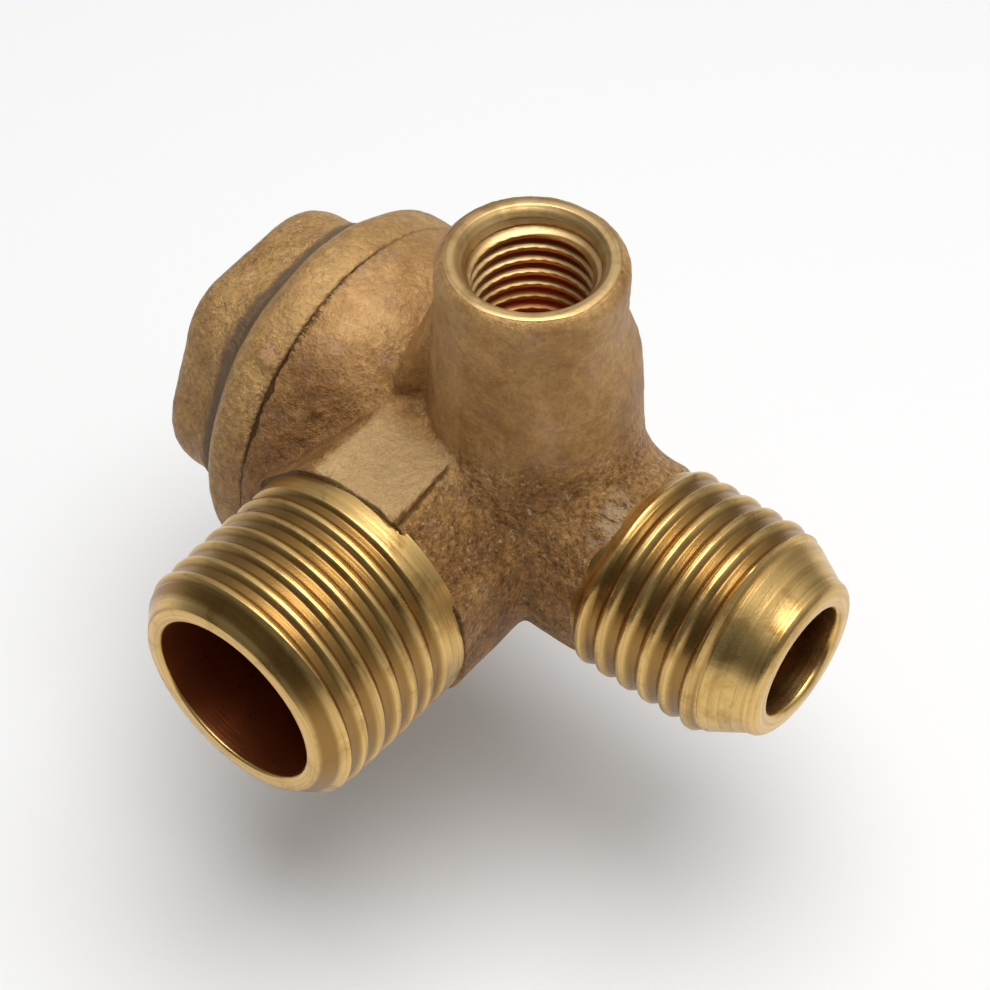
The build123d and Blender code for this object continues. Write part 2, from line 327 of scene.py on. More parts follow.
# Axes of revolution: which coordinates lie across each, a point on it, and the one along it
OUTLET_AXIS = ((1, 0, 1), (0, 0, 0), 1)
MAIN_AXIS = ((0, 1, 1), (0, main_y, 0), 0)
PORT_AXIS = ((1, 1, 0), (port_x, main_y, 0), 2)


# Distance fields: negative inside, in millimetres


def smooth_min(a, b, reach):
    """The lower of two fields, blended where they are within reach of each other."""
    share = np.clip(0.5 + 0.5 * (b - a) / reach, 0, 1)
    return b + (a - b) * share - reach * share * (1 - share)


def smooth_max(a, b, reach):
    """The higher of two fields, with a rounded edge between them."""
    return -smooth_min(-a, -b, reach)


def ease(value, start, end):
    """0 before start, 1 after end, and a smooth step between them."""
    share = np.clip((value - start) / (end - start), 0, 1)
    return share * share * (3 - 2 * share)


def about_main(p):
    """Place along the main axis, and distance from it."""
    return p[:, 0], np.hypot(p[:, 1] - main_y, p[:, 2])


def about_port(p):
    """Height along the unloader port's axis, and distance from it."""
    return p[:, 2], np.hypot(p[:, 0] - port_x, p[:, 1] - main_y)


def ball(p, centre):
    """A casting nodule."""
    return np.linalg.norm(p - centre, axis=1) - NODULE_RADIUS


def tube(along, around, start, end, radius, edge=EDGE):
    """A cylinder between two places on its axis."""
    return smooth_max(around - radius, np.maximum(start - along, along - end), edge)


def mouth(around):
    """Where the cap's flange meets the body: further on outside the sealing ring."""
    step = ease(around, SEAM_STEP_RADIUS, SEAM_STEP_RADIUS + SEAM_STEP_WIDTH)
    return MOUTH_X + (SEAM_X - MOUTH_X) * step


def dome(p):
    """Half an ellipsoid that falls from the mouth."""
    radii = np.array([DOME_LENGTH, MOUTH_RADIUS, MOUTH_RADIUS])
    q = p - np.array([MOUTH_X, main_y, 0])
    q[:, 0] = np.maximum(q[:, 0], 0)
    far = np.linalg.norm(q / radii, axis=1) + 1e-9
    return far * (far - 1) / (np.linalg.norm(q / radii**2, axis=1) + 1e-9)


def top_reach(angle):
    """How much further the neck's cast skin runs on its upper side."""
    return NECK_TOP_REACH * ease(np.sin(angle), *NECK_TOP_SIDE)


def hub(p):
    """The hub that narrows to the inlet's neck, whose cast skin ends raggedly."""
    x = p[:, 0]
    y, z = p[:, 1] - main_y, p[:, 2] + NECK_DROP * ease(x, *NECK_DROP_RUN)
    radius = NECK_RADIUS + (HUB_RADIUS - NECK_RADIUS) * ease(x, *HUB_FALL)
    angle = np.arctan2(z, -y)
    end = NECK_END_X + top_reach(angle)
    end += sum(height * np.sin(count * angle + phase) for height, count, phase in NECK_WAVES)
    radius -= NECK_END_FALL * ease(x, end - NECK_END_RUN, end)
    return np.maximum(np.hypot(y, z) - radius, x - end)


def collar(p):
    """The outlet's octagonal collar, lower beside the inlet, with a crisp flat on top."""
    x, y, z = p.T
    sides = -np.full(len(p), FAR)
    for turn in range(4):
        angle = math.radians(45 * turn)
        side = x * math.cos(angle) + z * math.sin(angle)
        apothem = COLLAR_APOTHEM
        if turn == 1:
            apothem = np.where(side > 0, COLLAR_LOW_APOTHEM, COLLAR_APOTHEM)
        sides = smooth_max(sides, np.abs(side) - apothem, COLLAR_EDGE)
    edge = COLLAR_FLAT_EDGE - COLLAR_FLAT_TAPER * y
    height = np.maximum(z - COLLAR_APOTHEM, COLLAR_FLAT_FOOT_Z - z)
    sides = np.minimum(sides, np.maximum(height, np.abs(x) - edge))
    limit = COLLAR_ROUND_RADIUS + COLLAR_ROUND_GROWTH * ease(z, *COLLAR_ROUND_RISE)
    sides = smooth_max(sides, np.hypot(x, z) - limit, COLLAR_ROUND_EDGE)
    return smooth_max(sides, np.maximum(-y, y - main_y), COLLAR_FACE_EDGE)


def boss(p):
    """The unloader port's drafted boss, cast a little off its turned land."""
    z = p[:, 2]
    off = 1 - ease(z, BOSS_SHIFT_TOP_Z, BOSS_LAND_Z)
    x = p[:, 0] - port_x - BOSS_SHIFT[0] * off
    y = p[:, 1] - main_y - BOSS_SHIFT[1] * off
    draft = BOSS_TOP_RADIUS - BOSS_FOOT_RADIUS
    radius = BOSS_FOOT_RADIUS + draft * (z - BOSS_DRAFT_FOOT_Z) / BOSS_DRAFT_LENGTH
    radius += (PORT_RADIUS - radius) * ease(z, BOSS_SHOULDER_Z, BOSS_LAND_Z)
    around = np.hypot(x, y)
    bevel = (around + z - PORT_LAND_OUTER - port_top) * BEVEL_SHARE
    side = smooth_max(around - radius, bevel, BEVEL_EDGE)
    return np.maximum(side, np.maximum(-z, z - port_top + BOSS_TOP_GAP))


def web(p):
    """The sloping web between the boss, the dome and the collar."""
    x, y, z = p[:, 0] - port_x, p[:, 1] - main_y, p[:, 2]
    out = x * math.cos(WEB_ANGLE) + y * math.sin(WEB_ANGLE)
    side = np.abs(-x * math.sin(WEB_ANGLE) + y * math.cos(WEB_ANGLE) + WEB_HALF_THICKNESS)
    run, rise = WEB_FOOT[0] - WEB_TOP[0], WEB_TOP[1] - WEB_FOOT[1]
    slope = ((out - WEB_TOP[0]) * rise + (z - WEB_TOP[1]) * run) / math.hypot(run, rise)
    flat = smooth_max(slope, side - WEB_HALF_THICKNESS, SHARP_EDGE)
    return np.maximum(flat, np.maximum(-out, np.maximum(WEB_LOW_Z - z, z - WEB_TOP[1])))


def casting_outside(p):
    """The body casting before it is bored."""
    x, around = about_main(p)
    shape = smooth_min(hub(p), dome(p), HUB_BLEND)
    reach = BOSS_BLEND + BOSS_BLEND_GROWTH * ease(x, *BOSS_BLEND_RUN)
    shape = smooth_min(shape, boss(p), reach)
    shape = smooth_min(shape, collar(p), COLLAR_BLEND)
    shape = smooth_min(shape, web(p), WEB_BLEND)
    shape = smooth_min(shape, ball(p, DOME_NODULE), NODULE_BLEND)
    return smooth_max(shape, mouth(around) - x, EDGE)


def casting_inside(p):
    """All that is bored out of the casting."""
    x, around = about_main(p)
    room = np.full(len(p), FAR)
    for end, radius in (
        (SEAL_RECESS_END, SEAL_RECESS_RADIUS),
        (CAP_THREAD_END, CAP_THREAD_RADIUS),
        (CHAMBER_END, CHAMBER_RADIUS),
        (SEAT_FLOOR, SEAT_CHAMBER_RADIUS),
    ):
        room = np.minimum(room, tube(x, around, MOUTH_X - 2, end, radius))
    bore = np.hypot(p[:, 0], p[:, 2])
    outlet = tube(p[:, 1], bore, OUTLET_END, OUTLET_BORE_END, OUTLET_BORE_RADIUS)
    room = np.minimum(room, outlet)
    draft = (SEAT_FOOT_RADIUS - SEAT_LAND_RADIUS) / (SEAT_FLOOR - SEAT_X)
    side = around - SEAT_LAND_RADIUS - (x - SEAT_X) * draft
    seat = np.maximum(smooth_max(side, SEAT_X - x, SHARP_EDGE), x - SEAT_ROOT)
    room = np.maximum(room, -seat)
    room = np.minimum(room, tube(x, around, SEAT_X - 1, INLET_BORE_CUT, INLET_BORE_RADIUS))
    z, off = about_port(p)
    for start, end, radius in (
        (TAPPED_HOLE_FLOOR, ABOVE_PORT, port_minor_radius + TAPPED_HOLE_GAP),
        (port_top - LAND_RECESS, ABOVE_PORT, PORT_LAND_OUTER - LAND_RECESS_GAP),
        (0, VENT_TOP, VENT_RADIUS),
    ):
        room = np.minimum(room, tube(z, off, start, end, radius))
    return room


def casting(p):
    """The finished casting without its turned and threaded ends."""
    return smooth_max(casting_outside(p), -casting_inside(p), SHARP_EDGE)


def flange_radius(x):
    """The cap's flange, fullest near the seam and rounded off at its back."""
    full = FLANGE_RADIUS - FLANGE_SEAM_FALL * ease(x, FLANGE_SEAM_FALL_X, SEAM_X)
    back = np.clip((FLANGE_FULL_X - x) / FLANGE_BACK_RUN, 0, 1.2)
    return full - FLANGE_BACK_FALL * back**FLANGE_BACK_POWER


def hexagon(p, around):
    """The cap's hexagon across the main axis, with round corners."""
    y, z = p[:, 1] - main_y, p[:, 2]
    inner = HEX_APOTHEM - HEX_CORNER_RADIUS
    sides = -np.full(len(p), FAR)
    for turn in range(3):
        angle = HEX_TURN + math.radians(30 + 60 * turn)
        sides = np.maximum(sides, np.abs(y * np.cos(angle) + z * np.sin(angle)) - inner)
    corner = inner / math.cos(math.radians(30))
    to_corner = np.full(len(p), FAR)
    for turn in range(6):
        angle = HEX_TURN + math.radians(60 * turn)
        reach = np.hypot(y - corner * math.cos(angle), z - corner * math.sin(angle))
        to_corner = np.minimum(to_corner, reach)
    round_angle = (np.arctan2(z, y) - HEX_TURN) % math.radians(60)
    from_corner = np.minimum(round_angle, math.radians(60) - round_angle)
    along_side = around * np.sin(math.radians(30) - from_corner)
    past_side = np.abs(along_side) > corner / 2
    return np.where(past_side, to_corner, sides) - HEX_CORNER_RADIUS


def cap(p):
    """The hexagonal cap with its flange, spigot, pocket and guide."""
    x, around = about_main(p)
    grip = smooth_max(hexagon(p, around), CAP_END_X - x, HEX_RIM_EDGE)
    grip = np.maximum(grip, x - MOUTH_X + HEX_FRONT_GAP)
    flange = smooth_max(around - flange_radius(x), x - mouth(around), EDGE)
    flange = smooth_max(flange, FLANGE_END_X - x, FLANGE_BACK_EDGE)
    shape = smooth_min(grip, flange, HEX_BLEND)
    for nodule in FLANGE_NODULES:
        shape = smooth_min(shape, ball(p, nodule), NODULE_BLEND)
    spigot = tube(x, around, SPIGOT_START_X, SPIGOT_END_X, SPIGOT_RADIUS, SPIGOT_EDGE)
    shape = smooth_min(shape, spigot, SPIGOT_BLEND)
    room = np.minimum(
        tube(x, around, POCKET_END_X, 0, POCKET_RADIUS),
        tube(x, around, GUIDE_END_X, 0, GUIDE_RADIUS),
    )
    return smooth_max(shape, -room, SHARP_EDGE)


# Meshes


def surface_net(field, low, high, step):
    """Points and quads of the surface on which the field is zero."""
    axes = [np.arange(a, b + step, step) for a, b in zip(low, high)]
    shape = tuple(len(axis) for axis in axes)
    grid = np.stack(np.meshgrid(*axes, indexing="ij"), -1)
    values = field(grid.reshape(-1, 3)).reshape(shape)
    inside = values < 0
    cells = tuple(n - 1 for n in shape)
    total = np.zeros(cells + (3,))
    count = np.zeros(cells)
    crossings = []
    for axis in range(3):
        near = [slice(None)] * 3
        far = [slice(None)] * 3
        near[axis] = slice(0, -1)
        far[axis] = slice(1, None)
        near, far = tuple(near), tuple(far)
        crossed = inside[near] != inside[far]
        places = np.argwhere(crossed)
        first, second = values[near][crossed], values[far][crossed]
        points = grid[near][crossed].copy()
        points[:, axis] += step * first / (first - second)
        others = [a for a in range(3) if a != axis]
        for da in (0, 1):
            for db in (0, 1):
                cell = places.copy()
                cell[:, others[0]] -= da
                cell[:, others[1]] -= db
                ok = np.all((cell >= 0) & (cell < cells), axis=1)
                index = tuple(cell[ok].T)
                np.add.at(total, index, points[ok])
                np.add.at(count, index, 1)
        crossings.append((places, inside[near][crossed], others))
    used = count > 0
    number = np.full(cells, -1)
    number[used] = np.arange(used.sum())
    points = total[used] / count[used][:, None]
    quads = []
    for axis, (places, starts_inside, others) in enumerate(crossings):
        corners = []
        for da, db in ((0, 0), (1, 0), (1, 1), (0, 1)):
            cell = places.copy()
            cell[:, others[0]] -= da
            cell[:, others[1]] -= db
            corners.append(number[tuple(cell.T)])
        quad = np.stack(corners, 1)
        turn_over = starts_inside if axis == 1 else ~starts_inside
        quad[turn_over] = quad[turn_over][:, ::-1]
        quads.append(quad)
    return points, np.concatenate(quads)


def slope_of(field, points, reach=0.02):
    """The field's gradient at points."""
    parts = []
    for axis in range(3):
        step = np.zeros(3)
        step[axis] = reach
        parts.append((field(points + step) - field(points - step)) / (2 * reach))
    return np.stack(parts, 1)


def settle(field, points, rounds=4):
    """Points moved onto the surface on which the field is zero."""
    for _ in range(rounds):
        slope = slope_of(field, points)
        steep = np.maximum((slope**2).sum(1), 0.2)
        move = slope * (field(points) / steep)[:, None]
        length = np.linalg.norm(move, axis=1, keepdims=True)
        points = points - move * np.minimum(1, 0.15 / np.maximum(length, 1e-9))
    return points


def grain(points, scale, octaves, seed):
    """Fractal noise at points, about -1 to 1."""
    shift = Vector((seed, seed * 1.7, seed * 2.3))
    return np.array(
        [
            noise.fractal(Vector(p) / scale + shift, 1.0, 2.1, octaves)
            for p in points
        ]
    )


def roughen(points, normals, keep_smooth):
    """Cast skin: points moved along their normals, less where keep_smooth is 1."""
    height = WAVE_HEIGHT * grain(points, WAVE_LENGTH, 2, WAVE_SEED)
    height += ROUGHNESS_HEIGHT * grain(points, ROUGHNESS_LENGTH, 3, ROUGHNESS_SEED)
    height *= 1 - keep_smooth
    return points + normals * height[:, None]


def make_mesh(name, points, faces, sharp_angle=None, recess_shade=None):
    """An object from points in millimetres and faces, shaded smooth."""
    mesh = bpy.data.meshes.new(name)
    mesh.from_pydata((np.asarray(points) * MM).tolist(), [], [list(f) for f in faces])
    mesh.update()
    mesh.polygons.foreach_set("use_smooth", [True] * len(mesh.polygons))
    if sharp_angle is not None:
        mesh.set_sharp_from_angle(angle=sharp_angle)
    if recess_shade is not None:
        mesh.attributes.new("recess_shade", "FLOAT", "POINT").data.foreach_set("value", recess_shade)
    thing = bpy.data.objects.new(name, mesh)
    bpy.context.scene.collection.objects.link(thing)
    return thing


def field_piece(name, field, low, high, step, keep_smooth, recess_shade):
    """A piece meshed from a distance field, with a cast skin."""
    points, quads = surface_net(field, low, high, step)
    points = settle(field, points)
    slope = slope_of(field, points)
    normals = slope / np.maximum(np.linalg.norm(slope, axis=1, keepdims=True), 1e-6)
    painted_shade = recess_shade(points)
    points = roughen(points, normals, keep_smooth(points))
    return make_mesh(name, points, quads, recess_shade=painted_shade)


def lathe(name, rows, place, sharp_angle=math.radians(35)):
    """A closed ring of revolution.

    Each row is a place along the axis, the radius at each angle and, if any, the painted shade
    there.
    """
    segments = max(len(np.atleast_1d(row[1])) for row in rows)
    angles = ring_angles(segments)
    points, recess_shade = [], []
    for row in rows:
        radius = np.broadcast_to(row[1], segments)
        points.append(place(np.broadcast_to(row[0], segments), radius, angles))
        recess_shade.append(np.broadcast_to(row[2] if len(row) > 2 else 0.0, segments))
    start = np.arange(segments)
    after = (start + 1) % segments
    faces = []
    for row in range(len(rows)):
        here, below = row * segments, (row + 1) % len(rows) * segments
        corners = [here + start, here + after, below + after, below + start]
        faces.append(np.stack(corners, 1))
    points, faces, recess_shade = (np.concatenate(parts) for parts in (points, faces, recess_shade))
    return make_mesh(name, points, faces, sharp_angle, recess_shade)


def on_outlet(along, radius, angle):
    """Points about the outlet's axis."""
    return np.stack([radius * np.cos(angle), along, radius * np.sin(angle)], 1)


def on_main(along, radius, angle):
    """Points about the main axis."""
    return np.stack([along, main_y - radius * np.cos(angle), radius * np.sin(angle)], 1)


def on_port(along, radius, angle):
    """Points about the unloader port's axis."""
    x, y = port_x + radius * np.cos(angle), main_y - radius * np.sin(angle)
    return np.stack([x, y, along], 1)


def ring_angles(segments):
    """Angles of the points round an axis."""
    return np.arange(segments) * 2 * math.pi / segments


def thread_depth(along, angles, pitch, depth, crest=MALE_CREST, root=MALE_ROOT):
    """Depth below the crest of a right-hand thread, at each angle."""
    phase = (along / pitch - angles / (2 * math.pi)) % 1
    off_crest = np.minimum(phase, 1 - phase)
    share = np.clip((off_crest - crest / 2) / (0.5 - crest / 2 - root / 2), 0, 1)
    return depth * ((1 - FLANK_ROUND) * share + FLANK_ROUND * ease(share, 0, 1))


def arc_rows(centre, radius, start, end, count):
    """Rows along an arc of the profile, in degrees from the axis's direction."""
    rows = []
    for angle in np.radians(np.linspace(start, end, count)):
        along = centre[0] + radius * math.cos(angle)
        rows.append((along, centre[1] + radius * math.sin(angle)))
    return rows


def wobble(angles, seed, height):
    """Slow uneven waves round a ring, about as high as height."""
    waves = np.zeros(len(angles))
    generator = np.random.default_rng(seed)
    for order in range(2, 12):
        waves += generator.normal() * np.cos(order * angles + generator.uniform(0, 6.28))
    return height * waves / 4


def outlet_spigot():
    """Outlet with its tapered pipe thread, lead chamfer, land and bore."""
    angles = ring_angles(OUTLET_SEGMENTS)
    ring_end = -OUTLET_RING_LENGTH
    rows = [(OUTLET_SUNK_END, OUTLET_RING_RADIUS - inset) for inset in (0.15, SKIN_GAP)]
    rows += [(along, OUTLET_RING_RADIUS) for along in np.linspace(0.02, ring_end + 0.4, 6)]
    nicks = wobble(angles, *OUTLET_NICKS)
    lead_growth = OUTLET_LEAD_RADIUS - OUTLET_RIM_RADIUS
    for along in np.arange(ring_end + 0.3, OUTLET_END + 0.02, -OUTLET_ROW):
        crest = OUTLET_GAUGE_RADIUS + (along - OUTLET_GAUGE_PLACE) * OUTLET_TAPER
        crest = min(crest, OUTLET_RING_RADIUS)
        cut = thread_depth(along, angles, OUTLET_PITCH, OUTLET_THREAD_DEPTH)
        fade = ease(along + nicks, ring_end + 0.1, ring_end - 0.5)
        lead = lead_growth * (along - OUTLET_END) / OUTLET_LEAD_LENGTH
        lead += OUTLET_RIM_RADIUS + OUTLET_LEAD_RISE
        # Painted shade in the thread's roots
        painted_shade = ROOT_SHADE * fade * cut / OUTLET_THREAD_DEPTH
        rows.append((along, np.minimum(crest - cut * fade, lead), painted_shade))
    rim_inner = OUTLET_BORE_RADIUS + OUTLET_RIM_ROUND
    rows += [(OUTLET_END, OUTLET_RIM_RADIUS), (OUTLET_END, rim_inner)]
    rows += arc_rows((OUTLET_END + OUTLET_RIM_ROUND, rim_inner), OUTLET_RIM_ROUND, 180, 270, 5)
    bore = OUTLET_BORE_RADIUS - SKIN_GAP
    for along in np.linspace(OUTLET_BORE_START, OUTLET_SUNK_END, 12):
        rows.append((along, bore, BORE_SHADE))
    return lathe("outlet_spigot", rows, on_outlet)


def inlet_spigot():
    """Inlet with its thread, flare nose, rolled rim and bore."""
    angles = ring_angles(INLET_SEGMENTS)
    ragged = wobble(angles, *INLET_NICKS)
    start = INLET_THREAD_START + top_reach(angles)
    sunk = NECK_RADIUS - INLET_SUNK_DEPTH
    rows = [(INLET_SUNK_END, INLET_SUNK_INNER), (INLET_SUNK_END, sunk - 0.25)]
    for along in np.arange(INLET_SUNK_END + 0.3, INLET_THREAD_END + 0.01, INLET_ROW):
        cut = thread_depth(along, angles, INLET_PITCH, INLET_THREAD_DEPTH)
        rise = ease(along + ragged, start, start + INLET_THREAD_RISE)
        crest = sunk + (INLET_CREST_RADIUS - sunk) * rise
        end = NOSE_FOOT_RADIUS + (INLET_THREAD_END + 0.15 - along) * NOSE_BEVEL_SLOPE
        # Painted shade in the thread's roots
        painted_shade = ROOT_SHADE * rise * cut / INLET_THREAD_DEPTH
        rows.append((along, np.minimum(crest - cut * rise, end), painted_shade))
    for past, step in ((0.2, 0.02), (0.35, 0.05)):
        rows.append((INLET_THREAD_END + past, NOSE_FOOT_RADIUS + step))
    rows += NOSE_CONE
    rows += arc_rows(NOSE_RIM_CENTRE, NOSE_RIM_RADIUS, 62, 2, 9)
    rows += [(INLET_END, NOSE_LAND_RADIUS)]
    round_centre = (INLET_END - NOSE_BORE_ROUND, INLET_BORE_RADIUS + NOSE_BORE_ROUND)
    rows += arc_rows(round_centre, NOSE_BORE_ROUND, 0, -90, 6)
    bore = INLET_BORE_RADIUS - SKIN_GAP
    for along in np.linspace(INLET_BORE_START, INLET_SUNK_END, 16):
        # Painted shade, deeper into the bore
        painted_shade = BORE_SHADE * ease(along, INLET_SHADE_START, INLET_SHADE_FULL)
        rows.append((along, bore, painted_shade))
    return lathe("inlet_spigot", rows, on_main)


def unloader_port():
    """Turned land of the unloader port, its countersink and its tapped hole."""
    angles = ring_angles(PORT_SEGMENTS)
    depth = PORT_THREAD_SHARE * PORT_PITCH
    edge = PORT_LAND_OUTER + wobble(angles, *PORT_NICKS)
    foot, sink_end = port_top - PORT_LAND_DEPTH, port_top - PORT_SINK_DEPTH
    rows = [(foot, PORT_LAND_INNER + 0.1), (foot, PORT_LAND_OUTER - 0.2)]
    rows += [(port_top - 0.25, edge), (port_top - 0.06, edge), (port_top, edge - 0.12)]
    rows += [(port_top, PORT_LAND_INNER + 0.1), (port_top - 0.04, PORT_LAND_INNER)]
    rows += [(sink_end + 0.05, PORT_SINK_RADIUS + 0.08)]
    for z in np.arange(sink_end, PORT_THREAD_END, -PORT_ROW):
        cut = thread_depth(z, angles, PORT_PITCH, depth, TAPPED_CREST, TAPPED_ROOT)
        fade = ease(z, PORT_THREAD_END + 0.1, PORT_THREAD_END + 1.6)
        inner = PORT_SINK_RADIUS + 0.1 - (sink_end - z) * PORT_SINK_SLOPE
        radius = port_minor_radius + (depth - cut) * fade
        # Painted shade in the tapped thread's roots and deeper in the hole
        painted_shade = ease(1 - cut / depth, 0.25, 0.75) * ease(z, sink_end - 0.9, sink_end - 1.3)
        painted_shade += ease(z, port_top - 4, PORT_THREAD_END)
        rows.append((z, np.maximum(radius, inner), np.minimum(painted_shade, 1) * BORE_SHADE))
    rows += [(PORT_THREAD_END - 0.1, port_minor_radius, BORE_SHADE)]
    vent = VENT_RADIUS + 0.02
    rows += [(PORT_DRILL_END, vent, BORE_SHADE), (PORT_FOOT_Z, vent)]
    rows += [(PORT_FOOT_Z, PORT_FOOT_RADIUS)]
    return lathe("unloader_port_land", rows, on_port)


# Materials. A mark is a product of smooth steps between two places in millimetres.


def new_material(name):
    """An empty node material, its tree and its surface shader."""
    material = bpy.data.materials.new(name)
    material.use_nodes = True
    tree = material.node_tree
    shader = tree.nodes["Principled BSDF"]
    return material, tree, shader


def add_node(tree, kind, **inputs):
    """A node with the given inputs set."""
    node = tree.nodes.new(kind)
    for name, value in inputs.items():
        node.inputs[name.replace("_", " ")].default_value = value
    return node


def noise_node(tree, coordinates, scale, detail=6, roughness=0.6, distortion=0.0):
    """Noise, with its scale in features a unit of the coordinates."""
    node = add_node(
        tree,
        "ShaderNodeTexNoise",
        Scale=scale,
        Detail=detail,
        Roughness=roughness,
        Distortion=distortion,
    )
    tree.links.new(coordinates, node.inputs["Vector"])
    return node.outputs["Fac"]


def ramp_node(tree, factor, stops):
    """A colour ramp over factor."""
    node = tree.nodes.new("ShaderNodeValToRGB")
    elements = node.color_ramp.elements
    while len(elements) < len(stops):
        elements.new(0.5)
    for element, (position, colour) in zip(elements, stops):
        element.position = position
        element.color = (*colour, 1)
    tree.links.new(factor, node.inputs["Fac"])
    return node.outputs["Color"]


def mix_node(tree, factor, first, second, blend="MIX"):
    """Two colours mixed by factor, a number or an output."""
    node = tree.nodes.new("ShaderNodeMix")
    node.data_type = "RGBA"
    node.blend_type = blend
    for socket, value in ((0, factor), (6, first), (7, second)):
        if isinstance(value, bpy.types.NodeSocket):
            tree.links.new(value, node.inputs[socket])
        elif socket == 0:
            node.inputs[socket].default_value = value
        else:
            node.inputs[socket].default_value = (*value, 1)
    return node.outputs[2]


def math_node(tree, operation, first, second=0.0, third=0.0, clamp=False):
    """One step of arithmetic."""
    node = tree.nodes.new("ShaderNodeMath")
    node.operation = operation
    node.use_clamp = clamp
    for index, value in enumerate((first, second, third)):
        if isinstance(value, bpy.types.NodeSocket):
            tree.links.new(value, node.inputs[index])
        else:
            node.inputs[index].default_value = value
    return node.outputs[0]


def bump_node(tree, height, strength, distance):
    """A bump from a height, with its depth in metres."""
    node = add_node(tree, "ShaderNodeBump", Strength=strength, Distance=distance)
    tree.links.new(height, node.inputs["Height"])
    return node.outputs["Normal"]


def map_node(tree, value, start, end, low=0.0, high=1.0):
    """A smooth step from low at start to high at end."""
    node = tree.nodes.new("ShaderNodeMapRange")
    node.interpolation_type = "SMOOTHSTEP"
    for name, setting in (
        ("Value", value),
        ("From Min", start),
        ("From Max", end),
        ("To Min", low),
        ("To Max", high),
    ):
        if isinstance(setting, bpy.types.NodeSocket):
            tree.links.new(setting, node.inputs[name])
        else:
            node.inputs[name].default_value = setting
    return node.outputs["Result"]


def product(tree, *factors):
    """Factors multiplied together."""
    result = factors[0]
    for factor in factors[1:]:
        result = math_node(tree, "MULTIPLY", result, factor)
    return result


def vector_node(tree, operation, first, second):
    """One step of vector arithmetic."""
    node = tree.nodes.new("ShaderNodeVectorMath")
    node.operation = operation
    tree.links.new(first, node.inputs[0])
    if isinstance(second, bpy.types.NodeSocket):
        tree.links.new(second, node.inputs[1])
    else:
        node.inputs[1].default_value = second
    return node.outputs["Value" if operation in ("DOT_PRODUCT", "LENGTH") else "Vector"]


def object_place(tree):
    """Object-space place in millimetres."""
    metres = tree.nodes.new("ShaderNodeTexCoord").outputs["Object"]
    return vector_node(tree, "MULTIPLY", metres, (1000, 1000, 1000))


def around_node(tree, place, axis):
    """Distance from an axis, in millimetres."""
    across, centre, _ = axis
    off = vector_node(tree, "SUBTRACT", place, centre)
    return vector_node(tree, "LENGTH", vector_node(tree, "MULTIPLY", off, across), (0, 0, 0))


def parts_of(tree, place):
    """A place's X, Y and Z."""
    node = tree.nodes.new("ShaderNodeSeparateXYZ")
    tree.links.new(place, node.inputs[0])
    return node.outputs


def ring_lines(tree, place, axis, scale):
    """Noise that runs round an axis, as turning marks do."""
    node = tree.nodes.new("ShaderNodeCombineXYZ")
    tree.links.new(around_node(tree, place, axis), node.inputs[0])
    tree.links.new(parts_of(tree, place)[axis[2]], node.inputs[1])
    slow = vector_node(tree, "MULTIPLY", place, (0.03, 0.03, 0.03))
    return noise_node(tree, vector_node(tree, "ADD", node.outputs[0], slow), scale, 3, 0.65)


def recess_shade_node(tree):
    """The share of painted shade that the mesh carries."""
    node = tree.nodes.new("ShaderNodeAttribute")
    node.attribute_name = "recess_shade"
    return node.outputs["Fac"]


def seam_marks(tree, place, parts):
    """Dark seam between the cap and the body, with the tears that run from it."""
    x, y, z = parts
    waver = noise_node(tree, place, 0.8, 3, 0.6)
    top, foot = map_node(tree, z, 13.6, 11.0, 0.06, 0.40), map_node(tree, z, 5.0, 8.0, 0.2, 1.0)
    thick = product(tree, top, foot)
    off = math_node(tree, "ADD", x, waver)
    off = math_node(tree, "ABSOLUTE", math_node(tree, "SUBTRACT", off, SEAM_X + 0.5))
    line = product(
        tree,
        map_node(tree, math_node(tree, "SUBTRACT", off, thick), 0.0, 0.14, 1.0, 0.0),
        map_node(tree, y, 18.5, 14.0),
        map_node(tree, z, 2.0, 6.5, 0.2, 1.0),
    )
    stretched = vector_node(tree, "MULTIPLY", place, (0.5, 2.6, 2.6))
    streaks = noise_node(tree, stretched, 1.0, 2, 0.6)
    tears = product(
        tree,
        map_node(tree, streaks, 0.50, 0.58),
        map_node(tree, x, -12.3, -12.1),
        map_node(tree, math_node(tree, "ADD", x, waver), -10.9, -11.6),
        map_node(tree, z, 12.0, 13.0),
        map_node(tree, y, 14.0, 12.0),
    )
    return math_node(tree, "MAXIMUM", line, product(tree, tears, 0.75))


def edge_shadow_marks(tree, place, parts):
    """Painted shadows: dark lines below the step of the outlet collar's upper flat and round its
    turned ring.
    """
    x, y, z = parts
    waver = math_node(tree, "MULTIPLY", noise_node(tree, place, 1.3, 3, 0.7), 0.3)
    leant = math_node(tree, "ADD", x, product(tree, y, COLLAR_FLAT_TAPER))
    across = math_node(tree, "SUBTRACT", math_node(tree, "ADD", leant, waver), 4.38)
    below = product(
        tree,
        map_node(tree, math_node(tree, "ABSOLUTE", across), 0.03, 0.22, 1.0, 0.0),
        map_node(tree, z, 9.7, 9.9),
        map_node(tree, y, 7.2, 6.4),
    )
    ring = product(
        tree,
        map_node(tree, y, 0.04, 0.30, 0.8, 0.0),
        map_node(tree, around_node(tree, place, OUTLET_AXIS), 10.75, 10.95, 1.0, 0.0),
        map_node(tree, z, -4, 2),
    )
    return math_node(tree, "MAXIMUM", product(tree, below, 0.85), ring)


